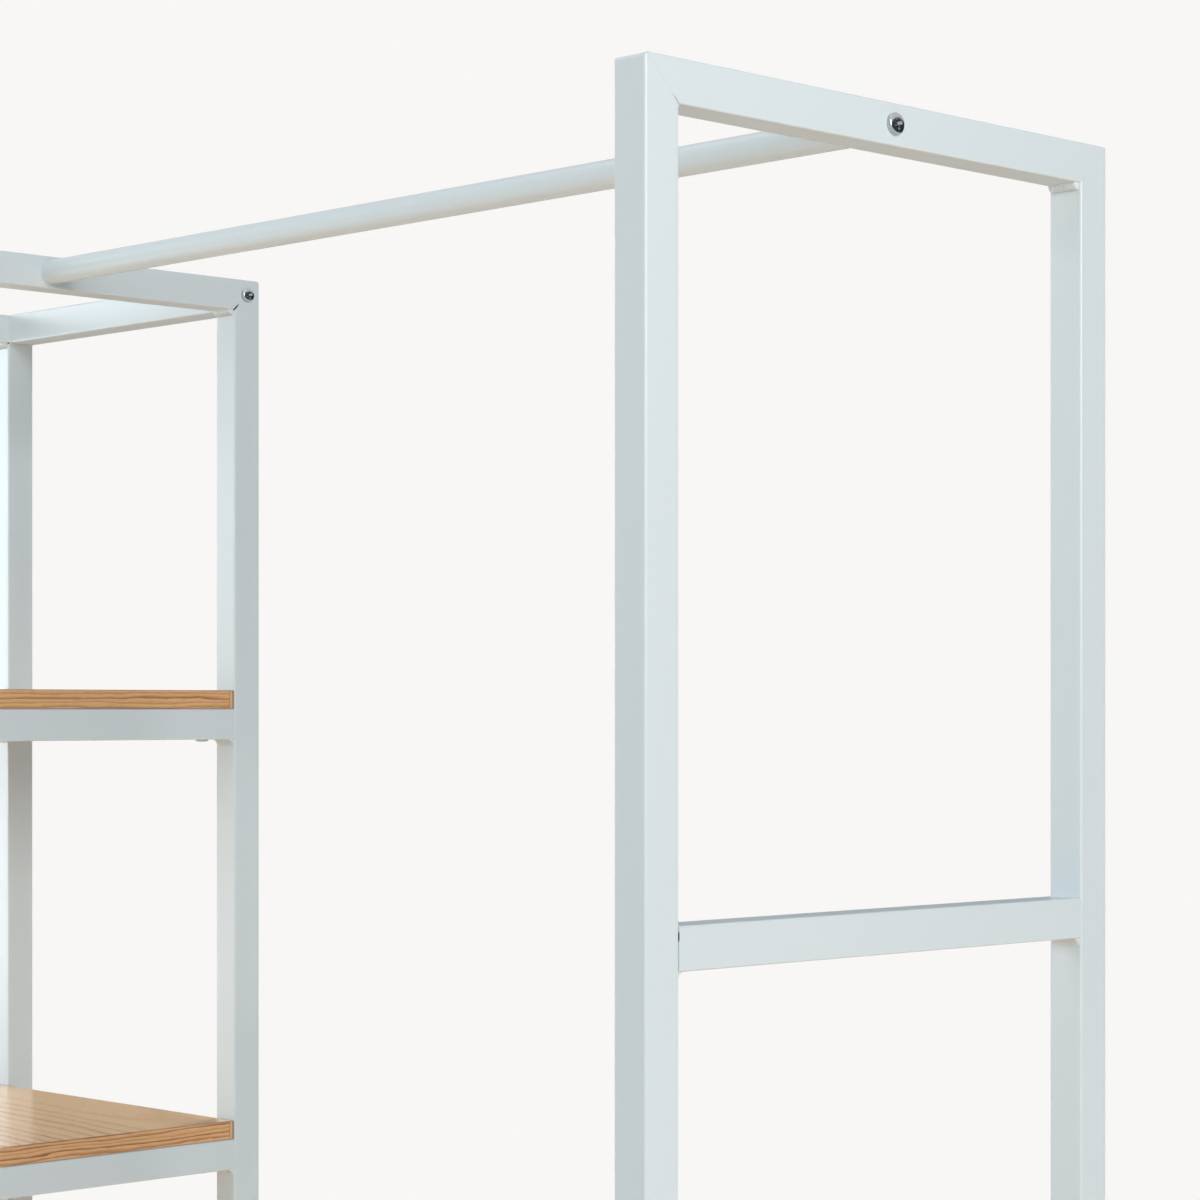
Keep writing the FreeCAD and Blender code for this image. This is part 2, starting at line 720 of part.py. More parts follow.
def foot_pad(label):
    """A moulded foot, wider at the floor, with a socket for the flange of its stud."""
    body = new_body(label)
    profile = new_sketch(body, "XZ_Plane", "profile")
    wide, top, socket = "Sizes.pad_diameter / 2", "Sizes.pad_top_diameter / 2", "Places.pad_socket / 2"
    edge = "Sizes.pad_edge"
    floor_of_socket = "Sizes.pad_rise - Sizes.stud_flange_rise"
    outline(
        profile,
        [
            ("0", "0"),
            (f"{wide} - {edge}", "0"),
            (wide, edge),
            (wide, "Sizes.pad_rim_rise"),
            (top, f"Sizes.pad_rise - {edge}"),
            (f"{top} - {edge}", "Sizes.pad_rise"),
            (socket, "Sizes.pad_rise"),
            (socket, floor_of_socket),
            ("0", floor_of_socket),
        ],
    )
    revolve(body, profile)
    return body


def foot_stud(label):
    """A threaded stud whose flange is held in the foot."""
    body = new_body(label)
    profile = new_sketch(body, "XZ_Plane", "profile")
    shank, flange, point = "Sizes.stud_diameter / 2", "Sizes.stud_flange / 2", "Sizes.stud_point"
    tip = "Sizes.pad_rise + Sizes.stud_rise"
    base = "Sizes.pad_rise - Sizes.stud_flange_rise"
    outline(
        profile,
        [
            ("0", base),
            (flange, base),
            (flange, "Sizes.pad_rise"),
            (shank, "Sizes.pad_rise"),
            (shank, f"{tip} - {point}"),
            (f"{shank} - {point}", tip),
            ("0", tip),
        ],
    )
    revolve(body, profile)
    return body


for spot, (x, y) in FOOT_SPOTS.items():
    for piece in (foot_pad(f"foot_{spot}_pad"), foot_stud(f"foot_{spot}_stud")):
        place(piece, x, y, "0")
        parts[piece.Label] = piece

doc.recompute()

failed = [item.Label for item in doc.Objects if {"Invalid", "Error"} & set(item.State)]
unsound = [label for label, piece in parts.items() if piece.Shape.isNull() or not piece.Shape.isValid()]
if failed or unsound:
    raise SystemExit(f"failed objects {failed}, unsound shapes {unsound}")

os.makedirs("parts", exist_ok=True)
for label, piece in parts.items():
    piece.Shape.exportStep(f"parts/{label}.step")
print(len(parts), "sub-parts written")
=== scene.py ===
import json
import math

import bpy
from mathutils import Matrix, Vector


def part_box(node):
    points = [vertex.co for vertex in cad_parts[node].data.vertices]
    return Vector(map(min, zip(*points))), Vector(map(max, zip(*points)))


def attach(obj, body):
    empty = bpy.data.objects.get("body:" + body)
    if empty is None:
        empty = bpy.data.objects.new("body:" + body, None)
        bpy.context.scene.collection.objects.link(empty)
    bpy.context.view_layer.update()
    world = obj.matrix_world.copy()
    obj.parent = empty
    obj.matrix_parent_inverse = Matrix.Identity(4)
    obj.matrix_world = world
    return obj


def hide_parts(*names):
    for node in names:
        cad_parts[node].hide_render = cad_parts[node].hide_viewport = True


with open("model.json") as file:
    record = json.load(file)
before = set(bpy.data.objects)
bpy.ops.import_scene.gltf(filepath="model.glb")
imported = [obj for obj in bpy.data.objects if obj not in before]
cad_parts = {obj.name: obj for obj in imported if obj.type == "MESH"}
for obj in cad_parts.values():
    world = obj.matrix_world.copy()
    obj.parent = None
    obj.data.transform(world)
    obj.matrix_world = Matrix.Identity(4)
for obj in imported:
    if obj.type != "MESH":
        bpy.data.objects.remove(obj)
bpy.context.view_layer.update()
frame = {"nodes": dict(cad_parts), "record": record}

MM = 0.001


def middle_of(node):
    """The middle of a node's box."""
    low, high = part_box(node)
    return (low + high) / 2


# Sizes that the finishes and pieces take from the frame
POST_LOW, POST_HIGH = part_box("end_front_upright")
TUBE_SIDE = POST_HIGH.x - POST_LOW.x
HALF_DEPTH = -POST_LOW.y
FRAME_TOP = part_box("end_top_bar")[1].z
FRAME_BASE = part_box("end_bottom_bar")[0].z

# Bars between the uprights of the end frame and of the tower frames
END_RUNGS = ["cross_bar_1", "cross_bar_2"]
TOWER_RUNGS = ["shelf_bar_1", "shelf_bar_2", "shelf_bar_3"]

# Camera as it stood for the photograph
CAMERA_PLACE = (2.184, -1.5994, 1.30915)
CAMERA_TURN = (math.radians(90), 0, math.radians(43.877))
CAMERA_LENS = 92.9
CAMERA_SHIFT = (-0.1596, 0.0905)

# Lamps: place, aim, width, height, watts and colour
LAMPS = {
    "softbox_right": ((3.6, -0.8, 2.25), (0.7, 0, 1.3), 0.7, 1.4, 67, "#FFFEFC"),
    "softbox_front": ((-0.5, -2.3, 1.85), (-0.3, 0.2, 1.2), 1.2, 1.1, 18.5, "#FBFFFB"),
    "softbox_top": ((-0.2, -0.4, 3.2), (0, 0, 1), 2.0, 1.4, 8, "#FFFFFF"),
    "window_left": ((-2.7, -0.75, 1.6), (-0.7, 0.2, 1.2), 0.8, 1.8, 31, "#E9F3FB"),
    "softbox_back": ((-0.3, 3.4, 1.7), (-0.3, 0, 1.1), 2.0, 2.0, 16, "#FFFFFF"),
    "softbox_behind": ((-1.0, 1.9, 2.3), (-0.42, 0.1, 0.9), 0.6, 0.6, 2.3, "#FFFCEE"),
}
UNMIRRORED_LAMPS = ("softbox_front", "softbox_back", "softbox_behind")
BEHIND_SPREAD = math.radians(50)

# Studio: the background, the floor and the distances between which it fades into it, and the walls
BACKGROUND = "#F8F7F5"
FLOOR_SIZE, FLOOR_NEAR, FLOOR_FAR, FLOOR_PALENESS = 60, 1.6, 5, 0.55
WALL_RADIUS, WALL_HEIGHT = 8, 4

# Fasteners: width and rise of heads, width and length of shanks, crowns, and the angles they stopped at
RAIL_BOLT_HEAD, RAIL_BOLT_SHANK = 15.8 * MM, 8 * MM
FRAME_BOLT_HEAD, FRAME_BOLT_SHANK = 13.9 * MM, 6 * MM
BOLT_RISE, BOLT_LENGTH = 4.1 * MM, 46 * MM
SCREW_HEAD, SCREW_SHANK = 13 * MM, 4.5 * MM
SCREW_RISE, SCREW_LENGTH = 2.3 * MM, 41 * MM
PAN_CROWN, DOME_CROWN = 3.6, 2
FIRST_TURN, DRIVEN_TURN = math.radians(15), math.radians(37)

# Weld beads: leg and profile, and what grinding left of the beads in the front corners
CORNER_WELD_LEG, CORNER_WELD_PROFILE = 5.2 * MM, 0.5
RUNG_WELD_LEG, RUNG_WELD_PROFILE = 6.2 * MM, 0.13
WELD_LENGTH = 26.4 * MM
GROUND_SHARE = 0.5

# Studs of the feet
STUD_DIAMETER, STUD_RISE = 8 * MM, 24 * MM
STUD_FLANGE, STUD_FLANGE_RISE = 13 * MM, 5 * MM
THREAD_PITCH, THREAD_DEPTH, THREAD_ROOM = 1.25 * MM, 0.7 * MM, 0.05 * MM

# How far behind each board's middle its log's heart lay, in millimetres, and how many degrees it ran askew
HEARTS = {
    "shelf_1": (-60, 2),
    "shelf_2": (185, -7),
    "shelf_3": (-25, 3),
    "shelf_4": (60, -2),
    "bay_board": (30, 1),
}

# Finishes: roughness of the coats, and how far below a cross bar's top its open slit lies
FRAME_ROUGHNESS, RAIL_ROUGHNESS = 0.3, 0.22
SLIT_DEPTH = 7 * MM

# Span in which most values of a noise texture lie
NOISE_SPAN = 0.4

# Colour sockets of the mix node
MIX_A, MIX_B = 6, 7

# How straight up or down a flat face points at least
FLAT = 0.9


def srgb(code):
    """A hex colour as the linear colour of a socket."""
    channels = [int(code[start : start + 2], 16) / 255 for start in (1, 3, 5)]
    return [c / 12.92 if c <= 0.04045 else ((c + 0.055) / 1.055) ** 2.4 for c in channels] + [1]


def add_node(tree, kind, sockets=None, **settings):
    """Adds a node with its settings. A socket takes a value, an output or a node's first output in use."""
    node = tree.nodes.new(kind)
    for setting, value in settings.items():
        setattr(node, setting, value)
    for socket, value in (sockets or {}).items():
        if isinstance(value, bpy.types.Node):
            value = next(output for output in value.outputs if output.enabled)
        if isinstance(value, bpy.types.NodeSocket):
            tree.links.new(value, node.inputs[socket])
        else:
            node.inputs[socket].default_value = value
    return node


def new_material(name):
    """A material with an empty node tree, and the Object coordinates in it."""
    material = bpy.data.materials.new(name)
    material.use_nodes = True
    tree = material.node_tree
    tree.nodes.clear()
    coordinates = add_node(tree, "ShaderNodeTexCoord").outputs["Object"]
    return material, tree, coordinates


def powder_coat(name, roughness, front_seam_shade=0, rear_seam_shade=0, faint=0, slit_heights=()):
    """Polyester powder baked on steel tube: an even cool white, satin, dimpled like orange peel.
    Where two tubes meet in a mitre, the coat sinks into a hairline that opens towards the inner corner, and
    beside a butted bar it leaves a short slit open. Their near-black is painted shade inside the gaps. The
    painted shade of the seams has a darkness at the front and one at the rear, and faint is the share of it
    that shows before they open."""
    # Real orange peel is about 1 mm from dimple to dimple, drawn coarser so that it shows
    peel_pitch, peel_rise = 2.4 * MM, 0.012 * MM
    drift_pitch, gloss_drift = 160 * MM, 0.12
    hairline_width, gap_width, seam_sink = 0.4 * MM, 0.8 * MM, 0.2 * MM
    gap_start, gap_end, full_share = TUBE_SIDE * 0.79, TUBE_SIDE * 0.88, 0.7
    slit_width, slit_length = 0.8 * MM, 7.5 * MM
    slit_core, slit_shade = 0.6, 0.85
    material, tree, place = new_material(name)
    peel = add_node(tree, "ShaderNodeTexNoise", {"Vector": place, "Scale": 1 / peel_pitch, "Detail": 1})
    drift = add_node(tree, "ShaderNodeTexNoise", {"Vector": place, "Scale": 1 / drift_pitch, "Detail": 2})
    gloss = add_node(
        tree,
        "ShaderNodeMapRange",
        {"Value": drift, "To Min": roughness * (1 - gloss_drift), "To Max": roughness * (1 + gloss_drift)},
    )
    coat = add_node(
        tree, "ShaderNodeMix", {0: drift, MIX_A: srgb("#DFE7EB"), MIX_B: srgb("#DBE3E7")}, data_type="RGBA"
    )
    axes = add_node(tree, "ShaderNodeSeparateXYZ", {0: place})
    across, up = axes.outputs["Y"], axes.outputs["Z"]
    off_centre = add_node(tree, "ShaderNodeMath", {0: across}, operation="ABSOLUTE")
    from_side = add_node(tree, "ShaderNodeMath", {0: HALF_DEPTH, 1: off_centre}, operation="SUBTRACT")
    from_top = add_node(tree, "ShaderNodeMath", {0: FRAME_TOP, 1: up}, operation="SUBTRACT")
    from_base = add_node(tree, "ShaderNodeMath", {0: up, 1: FRAME_BASE}, operation="SUBTRACT")
    from_end = add_node(tree, "ShaderNodeMath", {0: from_top, 1: from_base}, operation="MINIMUM")
    off_mitre = add_node(tree, "ShaderNodeMath", {0: from_side, 1: from_end}, operation="SUBTRACT")
    distance = add_node(tree, "ShaderNodeMath", {0: off_mitre}, operation="ABSOLUTE")
    opening = add_node(
        tree,
        "ShaderNodeMapRange",
        {"Value": from_side, "From Min": gap_start, "From Max": gap_end, "To Min": faint, "To Max": 1},
    )
    share = add_node(
        tree,
        "ShaderNodeMapRange",
        {
            "Value": across,
            "From Min": -HALF_DEPTH,
            "From Max": HALF_DEPTH,
            "To Min": front_seam_shade,
            "To Max": rear_seam_shade,
        },
    )
    shade = add_node(tree, "ShaderNodeMath", {0: opening, 1: share}, operation="MULTIPLY")
    reach = add_node(
        tree, "ShaderNodeMath", {0: shade, 1: gap_width, 2: hairline_width}, operation="MULTIPLY_ADD"
    )
    full_reach = add_node(tree, "ShaderNodeMath", {0: reach, 1: full_share}, operation="MULTIPLY")
    hairline = add_node(
        tree,
        "ShaderNodeMapRange",
        {"Value": distance, "From Min": full_reach, "From Max": reach, "To Min": 1, "To Max": 0},
    )
    # Painted shade: near-black along the mitre hairline, where the open gap lies in shadow
    painted_seam_shade = add_node(tree, "ShaderNodeMath", {0: hairline, 1: shade}, operation="MULTIPLY")
    # Painted shade in the short open slit beside each butted bar
    for height in slit_heights:
        slit_place = (0, TUBE_SIDE - HALF_DEPTH, height)
        slit_scale = (0, 2 / slit_width, 2 / slit_length)
        off_slit = add_node(tree, "ShaderNodeVectorMath", {0: place, 1: slit_place}, operation="SUBTRACT")
        scaled = add_node(tree, "ShaderNodeVectorMath", {0: off_slit, 1: slit_scale}, operation="MULTIPLY")
        from_slit = add_node(tree, "ShaderNodeVectorMath", {0: scaled}, operation="LENGTH")
        painted_slit_shade = add_node(
            tree,
            "ShaderNodeMapRange",
            {"Value": from_slit, "From Min": slit_core, "From Max": 1, "To Min": slit_shade, "To Max": 0},
        )
        painted_seam_shade = add_node(tree, "ShaderNodeMath", {0: painted_seam_shade, 1: painted_slit_shade}, operation="MAXIMUM")
    # The near-black mixed in here is painted shade in the seams and slits, not a colour of the coat
    shown = add_node(
        tree, "ShaderNodeMix", {0: painted_seam_shade, MIX_A: coat, MIX_B: srgb("#0E0F10")}, data_type="RGBA"
    )
    dimples = add_node(tree, "ShaderNodeBump", {"Strength": 1, "Distance": peel_rise, "Height": peel})
    groove = add_node(
        tree, "ShaderNodeBump", {"Distance": seam_sink, "Height": painted_seam_shade, "Normal": dimples}, invert=True
    )
    shader = add_node(
        tree,
        "ShaderNodeBsdfPrincipled",
        {"Base Color": shown, "Roughness": gloss, "IOR": 1.5, "Normal": groove},
    )
    add_node(tree, "ShaderNodeOutputMaterial", {"Surface": shader})
    return material


def oak_veneer(name, board):
    """Crown-cut oak veneer under clear satin lacquer: nested arches of brown growth rings along the board,
    feathered by the fibres, with fine dark pores in them, and honey that drifts from light to warm."""
    ring_width, ring_wander, feather = 14 * MM, 11 * MM, 9 * MM
    dark_share, palest_ring = 0.5, 0.35
    heart_depth, heart_tilt = 65 * MM, math.radians(1.8)
    heart_side, heart_turn = HEARTS[board]
    faint_slope, crisp_slope, faint_share = 0.55, 0.85, 0.38
    wander_pitch, wander_stretch = 70 * MM, 5
    # Real pores are about 0.3 mm wide, drawn coarser so that they show
    pore_width, pore_length, pore_depth = 0.7 * MM, 16 * MM, 0.03 * MM
    pore_start, pore_full = 0.56, 0.72
    plain_pores, ring_pores = 0.25, 0.75
    drift_pitch = 130 * MM
    material, tree, place = new_material(name)
    middle = middle_of(board)
    log = add_node(
        tree,
        "ShaderNodeMapping",
        {
            "Vector": place,
            "Location": (middle.x, middle.y + heart_side * MM, middle.z - heart_depth),
            "Rotation": (0, heart_tilt, math.radians(heart_turn)),
        },
        vector_type="TEXTURE",
    )
    stretched = add_node(
        tree, "ShaderNodeVectorMath", {0: log, 1: (1 / wander_stretch, 1, 1)}, operation="MULTIPLY"
    )
    wander = add_node(
        tree, "ShaderNodeTexNoise", {"Vector": stretched, "Scale": 1 / wander_pitch, "Detail": 3}
    )
    across = add_node(tree, "ShaderNodeVectorMath", {0: log, 1: (0, 1, 1)}, operation="MULTIPLY")
    radius = add_node(tree, "ShaderNodeVectorMath", {0: across}, operation="LENGTH")
    wavy = add_node(
        tree, "ShaderNodeMath", {0: wander, 1: ring_wander / ring_width / NOISE_SPAN}, operation="MULTIPLY"
    )
    rings = add_node(
        tree, "ShaderNodeMath", {0: radius, 1: 1 / ring_width, 2: wavy}, operation="MULTIPLY_ADD"
    )
    along = add_node(
        tree, "ShaderNodeVectorMath", {0: log, 1: (pore_width / pore_length, 1, 1)}, operation="MULTIPLY"
    )
    fibres = add_node(tree, "ShaderNodeTexNoise", {"Vector": along, "Scale": 1 / pore_width, "Detail": 1})
    feathered = add_node(
        tree, "ShaderNodeMath", {0: fibres, 1: feather / ring_width, 2: rings}, operation="MULTIPLY_ADD"
    )
    phase = add_node(tree, "ShaderNodeMath", {0: feathered}, operation="FRACT")
    year = add_node(tree, "ShaderNodeMath", {0: feathered}, operation="FLOOR")
    strength = add_node(tree, "ShaderNodeTexWhiteNoise", {"W": year}, noise_dimensions="1D")
    band = add_node(
        tree,
        "ShaderNodeMapRange",
        {"Value": phase, "From Max": dark_share, "To Min": 1, "To Max": 0},
        interpolation_type="SMOOTHSTEP",
    )
    weight = add_node(tree, "ShaderNodeMapRange", {"Value": strength, "To Min": palest_ring, "To Max": 1})
    ring_shade = add_node(tree, "ShaderNodeMath", {0: band, 1: weight}, operation="MULTIPLY")
    # Close to the heart the cut runs along a ring, which spreads its pores and leaves it pale
    sideways = add_node(tree, "ShaderNodeSeparateXYZ", {0: log}).outputs["Y"]
    aside = add_node(tree, "ShaderNodeMath", {0: sideways}, operation="ABSOLUTE")
    slope = add_node(tree, "ShaderNodeMath", {0: aside, 1: radius}, operation="DIVIDE")
    crispness = add_node(
        tree,
        "ShaderNodeMapRange",
        {
            "Value": slope,
            "From Min": faint_slope,
            "From Max": crisp_slope,
            "To Min": faint_share,
            "To Max": 1,
        },
    )
    grain = add_node(tree, "ShaderNodeMath", {0: ring_shade, 1: crispness}, operation="MULTIPLY")
    pores = add_node(
        tree, "ShaderNodeMapRange", {"Value": fibres, "From Min": pore_start, "From Max": pore_full}
    )
    drift = add_node(tree, "ShaderNodeTexNoise", {"Vector": stretched, "Scale": 1 / drift_pitch})
    honey = add_node(
        tree, "ShaderNodeMix", {0: drift, MIX_A: srgb("#F4D0A2"), MIX_B: srgb("#EDC193")}, data_type="RGBA"
    )
    ringed = add_node(
        tree, "ShaderNodeMix", {0: grain, MIX_A: honey, MIX_B: srgb("#BC8552")}, data_type="RGBA"
    )
    pore_share = add_node(
        tree, "ShaderNodeMapRange", {"Value": grain, "To Min": plain_pores, "To Max": ring_pores}
    )
    pore_shade = add_node(tree, "ShaderNodeMath", {0: pores, 1: pore_share}, operation="MULTIPLY")
    shown = add_node(
        tree, "ShaderNodeMix", {0: pore_shade, MIX_A: ringed, MIX_B: srgb("#A87646")}, data_type="RGBA"
    )
    bump = add_node(tree, "ShaderNodeBump", {"Distance": pore_depth, "Height": pores}, invert=True)
    shader = add_node(
        tree,
        "ShaderNodeBsdfPrincipled",
        {
            "Base Color": shown,
            "Roughness": 0.5,
            "IOR": 1.5,
            "Specular IOR Level": 0.05,
            "Normal": bump,
            "Coat Weight": 0.85,
            "Coat Roughness": 0.2,
        },
    )
    add_node(tree, "ShaderNodeOutputMaterial", {"Surface": shader})
    return material


def oak_edge_band(name, node):
    """Sliced oak edging, ironed on and lacquered: brown growth lines that run the length of the edge and
    waver, short dark pores between them, a dark line of glue above and below, and a paler strip at each end
    where the next length laps over, with a line of painted shadow along the lap and painted shadow in the gap
    at the upright."""
    line_pitch, line_wander = 4.2 * MM, 7.2 * MM
    dark_share, palest_line = 0.7, 0.4
    wander_pitch, wander_stretch = 16 * MM, 10
    # Real pores are about 0.3 mm wide, drawn coarser so that they show
    pore_width, pore_length = 0.6 * MM, 12 * MM
    pore_start, pore_full, pore_shade = 0.52, 0.72, 0.35
    glue_and_shadow_width, glue_and_shadow_darkness, end_gap = 0.7 * MM, 0.9, 2.6 * MM
    lap_width, lap_shadow = 4.6 * MM, 0.5 * MM
    low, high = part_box(node)
    material, tree, place = new_material(name)
    axes = add_node(tree, "ShaderNodeSeparateXYZ", {0: place})
    up = axes.outputs["Z"]
    # X plus Y runs along every edge of the board
    round_edge = add_node(
        tree, "ShaderNodeMath", {0: axes.outputs["X"], 1: axes.outputs["Y"]}, operation="ADD"
    )
    strip = add_node(tree, "ShaderNodeCombineXYZ", {"X": round_edge, "Z": up})
    stretched = add_node(
        tree, "ShaderNodeVectorMath", {0: strip, 1: (1 / wander_stretch, 1, 1)}, operation="MULTIPLY"
    )
    wander = add_node(
        tree, "ShaderNodeTexNoise", {"Vector": stretched, "Scale": 1 / wander_pitch, "Detail": 4}
    )
    wavy = add_node(
        tree, "ShaderNodeMath", {0: wander, 1: line_wander / line_pitch / NOISE_SPAN}, operation="MULTIPLY"
    )
    lines = add_node(tree, "ShaderNodeMath", {0: up, 1: 1 / line_pitch, 2: wavy}, operation="MULTIPLY_ADD")
    phase = add_node(tree, "ShaderNodeMath", {0: lines}, operation="FRACT")
    year = add_node(tree, "ShaderNodeMath", {0: lines}, operation="FLOOR")
    strength = add_node(tree, "ShaderNodeTexWhiteNoise", {"W": year}, noise_dimensions="1D")
    band = add_node(
        tree,
        "ShaderNodeMapRange",
        {"Value": phase, "From Max": dark_share, "To Min": 1, "To Max": 0},
        interpolation_type="SMOOTHSTEP",
    )
    weight = add_node(tree, "ShaderNodeMapRange", {"Value": strength, "To Min": palest_line, "To Max": 1})
    grain = add_node(tree, "ShaderNodeMath", {0: band, 1: weight}, operation="MULTIPLY")
    along = add_node(
        tree, "ShaderNodeVectorMath", {0: strip, 1: (pore_width / pore_length, 1, 1)}, operation="MULTIPLY"
    )
    fibres = add_node(tree, "ShaderNodeTexNoise", {"Vector": along, "Scale": 1 / pore_width, "Detail": 2})
    pores = add_node(
        tree,
        "ShaderNodeMapRange",
        {"Value": fibres, "From Min": pore_start, "From Max": pore_full, "To Max": pore_shade},
    )
    ringed = add_node(
        tree, "ShaderNodeMix", {0: grain, MIX_A: srgb("#E9B683"), MIX_B: srgb("#A06135")}, data_type="RGBA"
    )
    pored = add_node(
        tree, "ShaderNodeMix", {0: pores, MIX_A: ringed, MIX_B: srgb("#8E5F38")}, data_type="RGBA"
    )
    # Only the edges that face along X end at an upright, so the others count as far from an end
    facing = add_node(tree, "ShaderNodeTexCoord").outputs["Normal"]
    sideways = add_node(tree, "ShaderNodeSeparateXYZ", {0: facing}).outputs["X"]
    on_end = add_node(tree, "ShaderNodeMath", {0: sideways}, operation="ABSOLUTE")
    on_side = add_node(tree, "ShaderNodeMath", {0: 1, 1: on_end}, operation="SUBTRACT")
    off_centre = add_node(tree, "ShaderNodeMath", {0: axes.outputs["Y"]}, operation="ABSOLUTE")
    inwards = add_node(tree, "ShaderNodeMath", {0: high.y, 1: off_centre}, operation="SUBTRACT")
    from_end = add_node(
        tree, "ShaderNodeMath", {0: on_side, 1: high.y, 2: inwards}, operation="MULTIPLY_ADD"
    )
    lapped = add_node(tree, "ShaderNodeMath", {0: from_end, 1: lap_width}, operation="LESS_THAN")
    strip_tone = add_node(
        tree, "ShaderNodeMix", {0: lapped, MIX_A: pored, MIX_B: srgb("#E6B98A")}, data_type="RGBA"
    )
    above = add_node(tree, "ShaderNodeMath", {0: high.z, 1: up}, operation="SUBTRACT")
    below = add_node(tree, "ShaderNodeMath", {0: up, 1: low.z}, operation="SUBTRACT")
    edge = add_node(tree, "ShaderNodeMath", {0: above, 1: below}, operation="MINIMUM")
    off_lap = add_node(tree, "ShaderNodeMath", {0: from_end, 1: lap_width}, operation="SUBTRACT")
    lap_line = add_node(tree, "ShaderNodeMath", {0: off_lap}, operation="ABSOLUTE")
    lap_reach = add_node(
        tree, "ShaderNodeMath", {0: lap_line, 1: glue_and_shadow_width / lap_shadow}, operation="MULTIPLY"
    )
    gap_reach = add_node(tree, "ShaderNodeMath", {0: from_end, 1: glue_and_shadow_width / end_gap}, operation="MULTIPLY")
    lap_joint = add_node(tree, "ShaderNodeMath", {0: lap_reach, 1: gap_reach}, operation="MINIMUM")
    joint = add_node(tree, "ShaderNodeMath", {0: edge, 1: lap_joint}, operation="MINIMUM")
    # The dark mask holds the real glue lines, plus painted shadow along the lap and in the gap at the upright
    glue_and_painted_shadow = add_node(
        tree,
        "ShaderNodeMapRange",
        {"Value": joint, "From Max": glue_and_shadow_width, "To Min": glue_and_shadow_darkness, "To Max": 0},
    )
    # This brown is glue at the edges and painted shadow at the lap and the end gap
    shown = add_node(
        tree, "ShaderNodeMix", {0: glue_and_painted_shadow, MIX_A: strip_tone, MIX_B: srgb("#75543C")}, data_type="RGBA"
    )
    shader = add_node(
        tree, "ShaderNodeBsdfPrincipled", {"Base Color": shown, "Roughness": 0.36, "IOR": 1.5}
    )
    add_node(tree, "ShaderNodeOutputMaterial", {"Surface": shader})
    return material


def zinc_plate(name):
    """Bright zinc plate on cold-headed steel: a cool mirror, faintly clouded, that shows its surroundings."""
    # The clouds of real plating are under 1 mm across, drawn coarser so that they show
    cloud_pitch = 3 * MM
    clear_roughness, clouded_roughness = 0.11, 0.28
    material, tree, place = new_material(name)
    cloud = add_node(tree, "ShaderNodeTexNoise", {"Vector": place, "Scale": 1 / cloud_pitch, "Detail": 3})
    haze = add_node(
        tree,
        "ShaderNodeMapRange",
        {"Value": cloud, "To Min": clear_roughness, "To Max": clouded_roughness},
    )
    tone = add_node(
        tree, "ShaderNodeMix", {0: cloud, MIX_A: srgb("#BFC4C6"), MIX_B: srgb("#AEB5B9")}, data_type="RGBA"
    )
    shader = add_node(
        tree, "ShaderNodeBsdfPrincipled", {"Base Color": tone, "Metallic": 1, "Roughness": haze}
    )
    add_node(tree, "ShaderNodeOutputMaterial", {"Surface": shader})
    return material


def moulded_nylon(name):
    """Black nylon moulded in a spark-eroded tool: a matt, finely pitted skin."""
    # Real pits are about 0.1 mm across, drawn coarser so that they show
    pit_pitch, pit_depth = 0.8 * MM, 0.03 * MM
    material, tree, place = new_material(name)
    pits = add_node(tree, "ShaderNodeTexNoise", {"Vector": place, "Scale": 1 / pit_pitch, "Detail": 2})
    tone = add_node(
        tree, "ShaderNodeMix", {0: pits, MIX_A: srgb("#1C1D1F"), MIX_B: srgb("#2A2B2D")}, data_type="RGBA"
    )
    bump = add_node(tree, "ShaderNodeBump", {"Distance": pit_depth, "Height": pits})
    shader = add_node(
        tree,
        "ShaderNodeBsdfPrincipled",
        {"Base Color": tone, "Roughness": 0.55, "IOR": 1.53, "Normal": bump},
    )
    add_node(tree, "ShaderNodeOutputMaterial", {"Surface": shader})
    return material


def finish(piece, material):
    """Gives a piece one material all over."""
    piece.data.materials.clear()
    piece.data.materials.append(material)


def finish_nodes():
    """Gives each node of the frame the finish of its slot."""
    slit_heights = [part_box(f"end_{bar}")[1].z - SLIT_DEPTH for bar in END_RUNGS]
    end_coat = powder_coat(
        "powder_coated_end_frame",
        FRAME_ROUGHNESS,
        front_seam_shade=0.45,
        rear_seam_shade=0.1,
        faint=0.15,
        slit_heights=slit_heights,
    )
    tower_coat = powder_coat(
        "powder_coated_tower_frame", FRAME_ROUGHNESS, front_seam_shade=1, rear_seam_shade=1, faint=0.04
    )
    frame_coats = {"end": end_coat, "inner": tower_coat, "outer": tower_coat}
    rail_coat = powder_coat("powder_coated_rail", RAIL_ROUGHNESS)
    by_slot = {"rail_paint": rail_coat, "zinc_steel": ZINC, "foot_plastic": NYLON}
    for subpart in frame["record"]["subparts"]:
        name, slot = subpart["node"], subpart["material_slot"]
        if slot == "oak_veneer":
            material = oak_veneer(f"lacquered_oak_veneer_{name}", name)
        elif slot == "oak_edge_band":
            material = oak_edge_band(f"lacquered_oak_{name}", name)
        elif slot == "frame_paint":
            material = frame_coats.get(name.split("_")[0], BAR_COAT)
        else:
            material = by_slot[slot]
        finish(frame["nodes"][name], material)


def faces_up(face):
    return face.normal.z > FLAT


def faces_down(face):
    return face.normal.z < -FLAT


